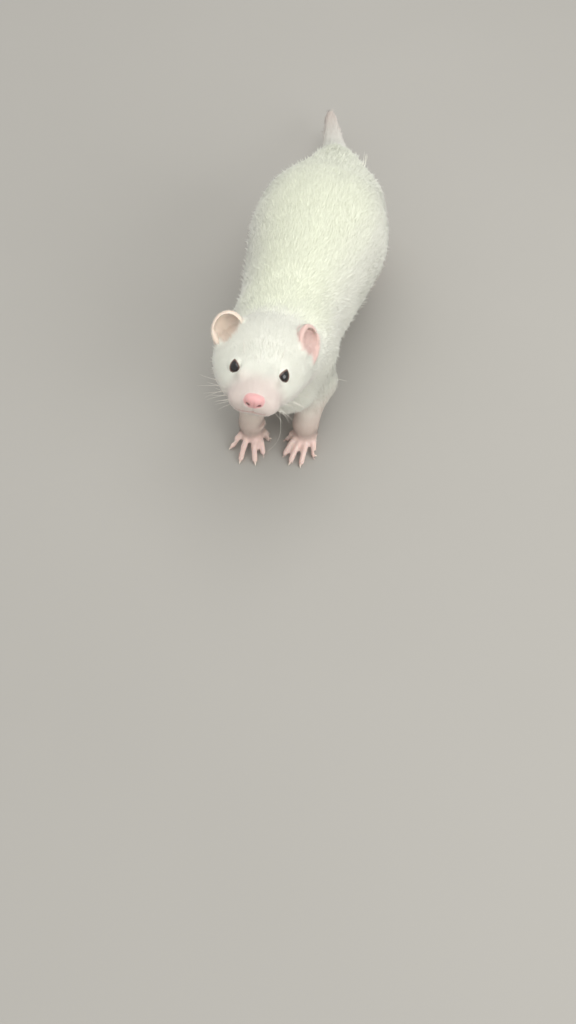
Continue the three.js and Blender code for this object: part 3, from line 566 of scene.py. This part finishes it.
# The hollow side of each ear, found from the thin way through the ear and out to the side that is open
HOLLOW_RADIUS, HOLLOW_DEPTH = 9.5, 6
RADIUS_SOFT, DEPTH_SOFT, RIM_SHARES, TURNED_OUT = 0.7, 1, (0.4, 0.8), (-0.5, 0.1)
inner_ear, from_ear = {}, {}
for side in SIDES:
    ear_points = welded(*arrays_of(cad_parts[f"ear_{side}"].data))[0]
    out = np.linalg.svd(ear_points - ear_points.mean(0), full_matrices=False)[2][2]
    out *= np.sign(out @ [SIDES[side] * 0.5, -0.6, 0.6])
    offset = (skin_points - middle_of(f"ear_{side}")) / MM
    over = offset @ out
    across = np.linalg.norm(offset - over[:, None] * out, axis=1)
    hollow = ramp(across, HOLLOW_RADIUS + RADIUS_SOFT, HOLLOW_RADIUS - RADIUS_SOFT)
    hollow *= ramp(np.abs(over), HOLLOW_DEPTH + DEPTH_SOFT, HOLLOW_DEPTH - DEPTH_SOFT)
    rim = ramp(share_of(f"ear_{side}"), *RIM_SHARES)
    inner_ear[side] = ramp(normals @ out, *TURNED_OUT) * np.maximum(hollow, rim)
    from_ear[side] = np.linalg.norm(offset, axis=1)

# The bare toes are the front share of each paw, and low. Each tone sets in at its first value and is full
# at its second: heights and places of the head in millimetres, others in metres, and shares as they are.
TOES_BACK, TOES_SOFT, TOES_LOW = 0.6, 0.15, (14 * MM, 7 * MM)
SPINE_UP, CHEEK_DOWN, MUZZLE_AHEAD = (0.3, 1), (-4, -14), (-6, -17)
TAIL_BACK, WRIST_AND_LOW_SHADE_DOWN, NOSE_SHARES = (0.06, 0.13), (44 * MM, 14 * MM), (0.25, 0.6)
LIP_NEAR, LID_NEAR, MOIST_NEAR = (1.6, 0.4), (0.9, 0.1), (1.2, 0.3)
toes = np.zeros(len(skin_points))
for paw in PAWS:
    front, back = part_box(paw)[0][1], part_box(paw)[1][1]
    ahead = (skin_points[:, 1] - front) / (back - front)
    ahead = ramp(ahead, TOES_BACK + TOES_SOFT, TOES_BACK - TOES_SOFT)
    toes += share_of(paw) * ahead * ramp(skin_points[:, 2], *TOES_LOW)
head_share = share_of("head", "nose", "eye_right", "eye_left")
tone = np.broadcast_to(linear(TONES["coat"]), skin_points.shape)
tone = blended(tone, "spine", ramp(normals[:, 2], *SPINE_UP) * share_of("torso", "neck"))
tone = blended(tone, "cheek", head_share * ramp(local[:, 2], *CHEEK_DOWN))
tone = blended(tone, "muzzle", head_share * ramp(local[:, 1], *MUZZLE_AHEAD))
tone = blended(tone, "tail", share_of("tail") * ramp(skin_points[:, 1], *TAIL_BACK))
# Everything low turns darker and pinker by height, the lower legs most: partly pink skin under thin fur near
# the paws, partly painted shade low on the body
tone = blended(tone, "wrist_and_low_shade", ramp(skin_points[:, 2], *WRIST_AND_LOW_SHADE_DOWN))
tone = blended(tone, "toe", toes)
# The inner ear tones, the right one paler as painted light over the shade in its dish and on its rim
for side, amount in inner_ear.items():
    tone = blended(tone, f"ear_{side}", amount)
bare_ear = inner_ear["right"] + inner_ear["left"]
coat_tone = tone
nose_share = ramp(share_of("nose"), *NOSE_SHARES)
tone = blended(tone, "lip", 0.9 * ramp(from_mouth, *LIP_NEAR))
tone = blended(tone, "lid", ramp(from_lid, *LID_NEAR))
tone = blended(tone, "nose", nose_share)
# Painted shade inside the nostrils: a dark tone for the depth of the openings, which their shallow hollows
# don't give
tone = blended(tone, "nostril_depth_shade", 0.9 * in_nostril)

skin = new_object("skin", skin_points, skin_faces)
keep_values(skin, "tone", tone)
keep_values(skin, "moist", nose_share + 0.6 * ramp(from_mouth, *MOIST_NEAR))
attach(skin, "root")
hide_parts(*[name for name in NAMES if not name.startswith("eye")])

# Living skin, with fine creases, and on the nose the pebbles of the pad, each about half a millimetre
material, tree = new_material("skin")
moist = stored(tree, "moist").outputs["Fac"]
pebbles = add(tree, "ShaderNodeTexVoronoi", {"Scale": 1 / (0.55 * MM)}).outputs["Distance"]
relief = {"Factor": moist, "A": noise(tree, 0.5, 4.0), "B": pebbles}
height = add(tree, "ShaderNodeMix", relief).outputs["Result"]
blotch = ranged(tree, noise(tree, 4, 3.0), 0.94, 1.03)
finished(
    tree,
    {
        "Base Color": scaled(tree, stored(tree, "tone").outputs["Color"], blotch),
        "Roughness": ranged(tree, moist, 0.8, 0.4),
        "Normal": bumped(tree, height, 0.5, 0.1),
        "Subsurface Weight": 0.15,
        "Subsurface Radius": (1.0, 0.4, 0.25),
        "Subsurface Scale": 1.5 * MM,
    },
)
skin.data.materials.append(material)

# The eyes
# Wet balls, so dark a brown that the pupil hardly shows, set deep behind the lids. A thin bare rim of
# darker skin edges each lid and closes on the ball.
PUPIL_EDGE, IRIS_EDGE = (28.0, 34.0), (58.0, 70.0)  # degrees from the gaze
dark_eye, tree = new_material("wet dark eye")
from_pupil = stored(tree, "from_pupil").outputs["Fac"]
iris = mixed(tree, noise(tree, 0.5, 3.0), "#1d0f0a", "#3a2016")
disc = mixed(tree, ranged(tree, from_pupil, 0.0, 1.0, *PUPIL_EDGE), "#070505", iris)
ball = mixed(tree, ranged(tree, from_pupil, 0.0, 1.0, *IRIS_EDGE), disc, "#120b09")
finished(tree, {"Base Color": ball, "Roughness": 0.06, "Coat Weight": 0.6, "Coat Roughness": 0.03})

lid_skin, tree = new_material("lid skin")
grain = noise(tree, 0.3, 2.0)
tint = mixed(tree, grain, "#55413a", "#6d544b")
finished(tree, {"Base Color": tint, "Roughness": 0.45, "Normal": bumped(tree, grain, 0.3, 0.05)})

CORNEA_RISE, CORNEA_EDGE, BALL_SUNK = 0.35, (50, 20), 0.1
BALL_BANDS, BALL_SECTORS = 36, 48
RIM_ABOVE, RIM_RADIUS, RIM_SIDES = 0.2, 0.36, 8
for side in SIDES:
    gaze, along, over = eye_frame(side)
    bands, sectors = np.linspace(0, 180, BALL_BANDS + 1), np.linspace(0, 360, BALL_SECTORS + 1)[:-1]
    polar, around = np.meshgrid(bands, sectors, indexing="ij")
    p, q = np.radians(polar.ravel()), np.radians(around.ravel())
    ways = np.stack([np.sin(p) * np.cos(q), np.sin(p) * np.sin(q), np.cos(p)], 1) @ [along, over, gaze]
    rise = CORNEA_RISE * ramp(polar.ravel(), *CORNEA_EDGE) - BALL_SUNK
    points = from_head(eye_local[side] + ways * (ball_radius + rise)[:, None])
    i, j = np.meshgrid(np.arange(BALL_BANDS), np.arange(BALL_SECTORS), indexing="ij")
    a, b = (i * BALL_SECTORS + j).ravel(), (i * BALL_SECTORS + (j + 1) % BALL_SECTORS).ravel()
    quads = np.stack([a, a + BALL_SECTORS, b + BALL_SECTORS, b], 1)
    eye = new_object(f"eye_ball_{side}", points, quads)
    keep_values(eye, "from_pupil", polar.ravel())
    eye.data.materials.append(dark_eye)
    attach(eye, "root")
    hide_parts(f"eye_{side}")

    deep = np.sqrt(np.clip(ball_radius**2 - (lid_outline**2).sum(1), 1, None))
    rim = np.stack([lid_outline[:, 0], lid_outline[:, 1], deep], 1)
    rim = unit(rim) * (ball_radius + RIM_ABOVE)
    rim = rim @ np.array([along, over, gaze]) + eye_local[side]
    closed = np.concatenate([rim, rim[:2]])
    rim_points, rim_faces = swept(closed, np.full(len(closed), RIM_RADIUS), RIM_SIDES)
    lid_rim = new_object(f"lid_rim_{side}", from_head(rim_points), rim_faces)
    lid_rim.data.materials.append(lid_skin)
    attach(lid_rim, "root")

# The lie of the coat
# From the nose back over the head and body to the tip of the tail, and down each leg to the toes. It is
# read from the middle lines of the frame's nodes, each a row of places with the way that the hair goes.


def middle_line(names, axis, count, flip=1):
    """Places along the middle of the nodes, in equal steps along an axis, and the ways between them."""
    points = np.concatenate([welded(*arrays_of(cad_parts[name].data))[0] for name in names])
    along = points[:, axis]
    borders = np.linspace(along.min(), along.max(), count + 1)
    rows = [points[(along >= low) & (along <= high)] for low, high in zip(borders, borders[1:])]
    places = np.array([(row.min(0) + row.max(0)) / 2 for row in rows])
    return places, unit(np.gradient(places, axis=0)) * flip


Y, Z = 1, 2
guides = [middle_line(["torso"], Y, 10), middle_line(["tail"], Y, 8)]
for side in SIDES:
    guides.append(middle_line([f"foreleg_{side}"], Z, 5, -1))
    guides.append(middle_line([f"hindleg_{side}"], Z, 5, -1))
for paw in PAWS:
    middle = middle_of(paw)
    places = np.array([middle, middle - [0, 8 * MM, 2 * MM]])
    guides.append((places, np.array([[0, -0.9, -0.4], [0, -1, -0.1]])))
nose_to_nape = from_head([[0, y, -6] for y in (-20, -8, 4, 16, 28)])
guides.append((nose_to_nape, np.tile(head_y, (5, 1))))
over_neck = unit(head_y * 0.4 + [0, 1, -0.1])
guides.append((middle_line(["neck"], Y, 2)[0], np.tile(over_neck, (2, 1))))
guide_places, guide_ways = (np.concatenate(rows) for rows in zip(*guides))
LIE_REACH = 17 * MM


def lie_at(points, normals):
    """The way that the hair lies at each point of the skin, along the surface."""
    away = ((points[:, None] - guide_places) ** 2).sum(2)
    weight = np.exp(-(away - away.min(1, keepdims=True)) / (2 * LIE_REACH**2))
    ways = weight @ guide_ways
    return unit(ways - normals * (ways * normals).sum(1, keepdims=True))


def drift(points, size, seed):
    """A smooth random value from about -1 to 1, which changes over the given size."""
    waves = np.random.default_rng(seed).normal(size=(6, 3))
    phases = np.random.default_rng(seed + 1).uniform(0, 2 * np.pi, 6)
    return np.sin(points @ (waves / size).T + phases).mean(1) * 1.8


# The coat
# Short plush fur, white to cream. Each tuft is a thin lock of hairs that rises from the skin, bends back
# along the body and ends in a point, and together they overlap like the real coat. Its tips reach the
# outline that the frame's solids have.
guard_hair, tree = new_material("white fur")
fine = ranged(tree, noise(tree, 1.2, 2.0), 0.97, 1.02)
colour = scaled(tree, stored(tree, "tone").outputs["Color"], fine)
finished(tree, {"Base Color": colour, "Roughness": 0.75, "Sheen Weight": 0.3, "Specular IOR Level": 0.25})

COAT = {
    # kind of node: rise of the hair from the skin in degrees, thickness of a tuft in millimetres
    "head": (13, 0.28),
    "nose": (12, 0.18),
    "eye": (12, 0.18),
    "ear": (12, 0.16),
    "neck": (13, 0.4),
    "torso": (13, 0.42),
    "tail": (15, 0.38),
    "foreleg": (13, 0.34),
    "forepaw": (9, 0.18),
    "hindleg": (13, 0.38),
    "hindpaw": (9, 0.18),
}
lift, thick = (share @ np.array([COAT[name.split("_")[0]] for name in NAMES])).T
thick *= 1 - 0.3 * head_share * ramp(local[:, 1], 4, -12)
long = np.clip(depth / np.sin(np.radians(lift)), 1.0, None)

# Longer hair before the ears sweeps back over their hollows
before_ear = head_share * (1 - bare_ear) * ramp(local[:, 1], 24, 18)
before_ear *= ramp(np.minimum(from_ear["right"], from_ear["left"]), 14, 9)
long *= 1 + 0.4 * before_ear
lift += 8 * before_ear
sole = ramp(normals[:, 2], -0.2, -0.6) * ramp(skin_points[:, 2], 6 * MM, 3 * MM)
furred = (1 - nose_share) * ramp(from_lid, 0.3, 1.2) * ramp(from_mouth, 0.5, 1.3) * (1 - sole)
furred *= (1 - 0.8 * bare_ear) * (1 - 0.8 * toes)
face_part = part[skin_faces[:, 0]]
corners = skin_points[skin_faces]
across = np.cross(corners[:, 1] - corners[:, 0], corners[:, 2] - corners[:, 0])
face_area = np.linalg.norm(across, axis=1) / 2
PATCH = 0.003
TUFT_FACES = np.array([[0, 2, 1], [0, 3, 2], [0, 1, 3], [1, 2, 4], [2, 3, 4], [3, 1, 4]])
TUFT_PATCH = np.array([[0.5, 0], [0, 0.5], [1, 0.5], [0.5, 0.6], [0.5, 1]]) * PATCH
# Painted shade along each tuft, one value for each of its five points: darker at the root deep in the coat
# and under the bend, full at the tip
TUFT_PAINTED_SHADE = np.array([0.95, 0.99, 0.99, 0.97, 1.0])
FLOOR_GAP = 0.05 * MM
STRAYS, STRAY_RISE, STRAY_LONG, STRAY_THICK = 0.035, 50, 0.62, 1.7
# A tuft rises to its bend, then flattens to its tip: the shares of its length before and after the bend,
# and by how many radians the two are steeper and flatter than its rise
BEND, TO_TIP, STEEPER, FLATTER = 0.42, 0.6, 0.12, 0.1
ROOT_DEEP, TUFT_HEIGHT = 0.25 * MM, 0.35
# The lie swirls slowly over the body and a little from tuft to tuft, and so does the rise
SWIRL, SWIRL_SIZE, SWIRL_EACH = 0.3, 11 * MM, 0.12
UNEVEN, UNEVEN_SIZE, UNEVEN_EACH = 0.1, 6 * MM, 0.1


def unwrapped(points, axis, centre):
    """Where points fall when the skin round an axis is slit along it and rolled out flat."""
    axis = unit(np.asarray(axis, float))
    side = unit(np.cross(axis, [0.3, 0.2, 0.9] if abs(axis[2]) < 0.8 else [0, 1, 0]))
    offset = points - centre
    angle = np.arctan2(offset @ side, offset @ np.cross(side, axis))
    along = offset @ axis
    spread = (along - along.min()) / (along.max() - along.min())
    return np.stack([angle / (2 * np.pi) + 0.5, spread], 1) * (1 - 2 * PATCH) + PATCH


def grow_coat(name, faces, count, axis):
    """Tufts rooted at random places on these faces, closer together where they are short and thin."""
    cover = (furred / (long * thick))[skin_faces[faces]].mean(1) * face_area[faces]
    total = np.cumsum(cover)
    places = (np.arange(count) + chance.random(count)) / count * total[-1]
    chosen = faces[np.minimum(np.searchsorted(total, places), len(faces) - 1)]
    u, v = chance.random((2, count))
    over = u + v > 1
    u, v = np.where(over, 1 - u, u), np.where(over, 1 - v, v)
    weights = np.stack([1 - u - v, u, v], 1)

    def at_root(values):
        shape = (count, 3) + (1,) * (values.ndim - 1)
        return (values[skin_faces[chosen]] * weights.reshape(shape)).sum(1)

    root, up = at_root(skin_points), unit(at_root(normals))
    way = lie_at(root, up)
    swirl = SWIRL * drift(root, SWIRL_SIZE, 3) + SWIRL_EACH * chance.normal(size=count)
    way = way * np.cos(swirl)[:, None] + np.cross(up, way) * np.sin(swirl)[:, None]
    side = np.cross(way, up)
    stray = chance.random(count) < STRAYS
    uneven = 1 + UNEVEN * drift(root, UNEVEN_SIZE, 5) + UNEVEN_EACH * chance.normal(size=count)
    rise = np.radians(np.where(stray, STRAY_RISE, at_root(lift)) * uneven)
    size = at_root(long) * MM * chance.uniform(0.75, 1.2, count) * np.where(stray, STRAY_LONG, 1)
    width = at_root(thick) * MM * chance.uniform(0.7, 1.2, count) * np.where(stray, STRAY_THICK, 1)
    steep, flat = rise + STEEPER, rise - FLATTER
    bend = root + (BEND * size)[:, None] * (way * np.cos(steep)[:, None] + up * np.sin(steep)[:, None])
    tip = bend + (TO_TIP * size)[:, None] * (way * np.cos(flat)[:, None] + up * np.sin(flat)[:, None])
    wide, high = side * (width / 2)[:, None], up * (width * TUFT_HEIGHT)[:, None]
    places = [root - up * ROOT_DEEP, bend - wide, bend + wide, bend - high, tip]
    points = np.stack(places, 1).reshape(-1, 3)
    points[:, 2] = np.maximum(points[:, 2], FLOOR_GAP * (1 + chance.random(len(points))))
    tufts = new_object(name, points, (TUFT_FACES + 5 * np.arange(count)[:, None, None]).reshape(-1, 3))
    # Each tuft takes the skin's tone at its root, darkened by its painted shade along it and a small random
    # amount
    tones = at_root(coat_tone)[:, None] * TUFT_PAINTED_SHADE[:, None] * chance.uniform(0.975, 1.01, (count, 1, 1))
    keep_values(tufts, "tone", np.clip(tones, 0, 0.98).reshape(-1, 3))
    soft = np.stack([up, up - side * 0.5, up + side * 0.5, way * 0.8 - up * 0.4, up + way * 0.7], 1)
    tufts.data.normals_split_custom_set_from_vertices(unit(soft.reshape(-1, 3)).tolist())
    spots = unwrapped(root, axis, root.mean(0))[:, None] + TUFT_PATCH
    bake = tufts.data.uv_layers.new(name="OFBake")
    corner_at = np.empty(len(tufts.data.loops), np.int32)
    tufts.data.loops.foreach_get("vertex_index", corner_at)
    bake.uv.foreach_set("vector", spots.reshape(-1, 2)[corner_at].astype(np.float32).ravel())
    tufts.data.materials.append(guard_hair)
    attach(tufts, "root")
    return tufts


def faces_on(*names):
    return np.flatnonzero(np.isin(face_part, [NAMES.index(name) for name in names]))


def grow_bands(name, faces, way, bands, count):
    """The coat of a long part, as several pieces one behind the other."""
    behind = corners[faces, 0] @ way
    for i, band in enumerate(np.array_split(faces[np.argsort(behind)], bands)):
        grow_coat(f"{name}_{i + 1}", np.sort(band), count, way)


grow_bands("coat_head", faces_on("head", "eye_right", "eye_left", "nose"), head_y, 2, 24000)
grow_coat("coat_neck", faces_on("neck"), 14000, (0, 1, 0))
grow_bands("coat_torso", faces_on("torso"), np.array([0.0, 1, 0]), 4, 24000)
grow_coat("coat_tail", faces_on("tail"), 16000, (0, 0.9, -0.4))
for side in SIDES:
    grow_coat(f"coat_foreleg_{side}", faces_on(f"foreleg_{side}", f"forepaw_{side}"), 12500, (0, 0, 1))
    grow_coat(f"coat_hindleg_{side}", faces_on(f"hindleg_{side}", f"hindpaw_{side}"), 13500, (0, 0, 1))
    grow_coat(f"coat_ear_{side}", faces_on(f"ear_{side}"), 4500, (0, 0, 1))

# The whiskers
# Long stiff hairs, nearly white, in rows on each side of the muzzle, with a few over each eye and on the
# cheeks. Each bends back and down and thins to nothing.
WHISKER_ROWS = [(-12.5, -8.2), (-10.5, -9.8), (-8.2, -11.2)]
whisker_hair, tree = new_material("whisker")
finished(tree, {"Base Color": mixed(tree, noise(tree, 2, 1.0), "#e8e0d2", "#f6f1e6"), "Roughness": 0.35})
WHISKER_STEPS, HAIR_SIDES, TIP_RADIUS, BENT_OUT, ROOT_IN = 12, 5, 0.015, 0.5, 0.4
skin_tree = BVHTree.FromPolygons(local.tolist(), skin_faces.tolist())


def whisker(start, way, long, thick=0.08):
    """One whisker in the head's frame, from where a line from inside the head leaves the skin."""
    root, out, _, _ = skin_tree.ray_cast(start, way)
    t = np.linspace(0, 1, WHISKER_STEPS)[:, None]
    out = unit(unit(np.array(way, float)) + BENT_OUT * np.array(out))
    droop = np.array([-0.25 * np.sign(way[0]), 0.55, -0.3])
    path = np.array(root) + (out * t + droop * t**2) * long - out * ROOT_IN
    return swept(path, thick * (1 - t[:, 0]) ** 0.7 + TIP_RADIUS, HAIR_SIDES)


whiskers = []
for side in SIDES.values():
    for row, (y, z) in enumerate(WHISKER_ROWS):
        for place in range(4):
            way = (side * 0.9, -0.35 + 0.2 * place, -0.12 * row + 0.05 * chance.normal())
            long_one = 11 + 2.4 * place + 2 * chance.random()
            whiskers.append(whisker((side * 1.5, y + 2.2 * place - 3, z), way, long_one))
    for place in range(3):
        above_eye, up = (side * 7.5, 2.0 + 1.4 * place, 0), (side * 0.35, 0.1, 1)
        whiskers.append(whisker(above_eye, up, 9 + 2 * chance.random(), 0.07))
    whiskers.append(whisker((side * 8, 9, -12), (side * 0.8, 0.1, -0.6), 12, 0.07))
hairs = new_object("whiskers", *together([(from_head(points), faces) for points, faces in whiskers]))
hairs.data.materials.append(whisker_hair)
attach(hairs, "root")

# The long guard hairs
# A lock on the left of the rump and three single hairs stand out of the short coat: one on the flank, one
# on the shoulder, and a fine one that hangs from the breast nearly to the floor.
LOCK_HAIRS, LOCK_SPREAD, LOCK_THICK = 6, 1.1, 0.5
LOCK = [(20.5, 42, 84), (21.8, 46.5, 87.5), (21.8, 49.5, 93)]
LONG_STEPS, LONG_TIP_RADIUS = 14, 0.02
LONG_HAIRS = [
    # thickness at the root and places along the hair, all in millimetres of the model's frame
    (0.24, (41, -9, 85.5), (43.2, -9, 87), (46, -10, 88.5)),
    (0.24, (27.4, -95, 39.6), (32, -97, 42), (36.5, -97.5, 42)),
    (0.14, (-3, -127, 43), (-0.6, -132.3, 34), (-1.6, -133.4, 18), (-8.8, -138.6, 6)),
]
for _ in range(LOCK_HAIRS):
    foot, tip = chance.normal(size=(2, 3)) * LOCK_SPREAD * [[0.8], [0.5]]
    LONG_HAIRS.append((LOCK_THICK, *(np.array(LOCK) + [foot, (foot + tip) / 2, tip])))
guard, tree = new_material("long guard hair")
finished(tree, {"Base Color": mixed(tree, noise(tree, 2, 1.0), "#f3f1e2", "#fcfbf2"), "Roughness": 0.5})


def long_hair(thick, *places):
    """A hair rooted on the skin that passes smoothly through the places and thins to its tip."""
    places = in_head(np.array(places, float) * MM)
    places[0] = skin_tree.find_nearest(places[0])[0]
    t = np.linspace(0, 1, LONG_STEPS)
    curve = np.polyfit(np.linspace(0, 1, len(places)), places, len(places) - 1)
    radii = thick / 2 * (1 - t) ** 0.6 + LONG_TIP_RADIUS
    points, faces = swept(np.vander(t, len(places)) @ curve, radii, HAIR_SIDES)
    return from_head(points), faces


guard_hairs = new_object("long_guard_hairs", *together([long_hair(*row) for row in LONG_HAIRS]))
guard_hairs.data.materials.append(guard)
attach(guard_hairs, "root")

# The floor and the light
# A plain pale floor under broad soft lights, as the day's even light from above.
FLOOR_HALF, SKY_STRENGTH = 3, 0.68
floor_corners = FLOOR_HALF * np.array([[-1, -1, 0], [1, -1, 0], [1, 1, 0], [-1, 1, 0]], float)
floor = new_object("floor", floor_corners, np.array([[0, 1, 2, 3]]))
plaster, tree = new_material("pale matt floor")
finished(tree, {"Base Color": mixed(tree, noise(tree, 60, 4.0), "#a5a29b", "#aeaba4"), "Roughness": 0.85})
floor.data.materials.append(plaster)


def soft_light(name, place, aim, size, power):
    lamp = bpy.data.lights.new(name, "AREA")
    lamp.size = size
    lamp.energy = power
    holder = bpy.data.objects.new(name, lamp)
    holder.location = place
    holder.rotation_euler = (Vector(aim) - Vector(place)).to_track_quat("-Z", "Y").to_euler()
    bpy.context.scene.collection.objects.link(holder)


soft_light("sky", (0.1, 0.1, 1.5), (0, 0, 0.05), 1.6, 13.5)
soft_light("window", (1.1, -0.6, 0.7), (0, -0.05, 0.06), 0.9, 7)
world = bpy.data.worlds.new("studio")
bpy.context.scene.world = world
world.use_nodes = True
sky = world.node_tree.nodes["Background"].inputs
sky["Color"].default_value = (1, 1, 1, 1)
sky["Strength"].default_value = SKY_STRENGTH
bpy.context.scene.view_settings.view_transform = "Standard"
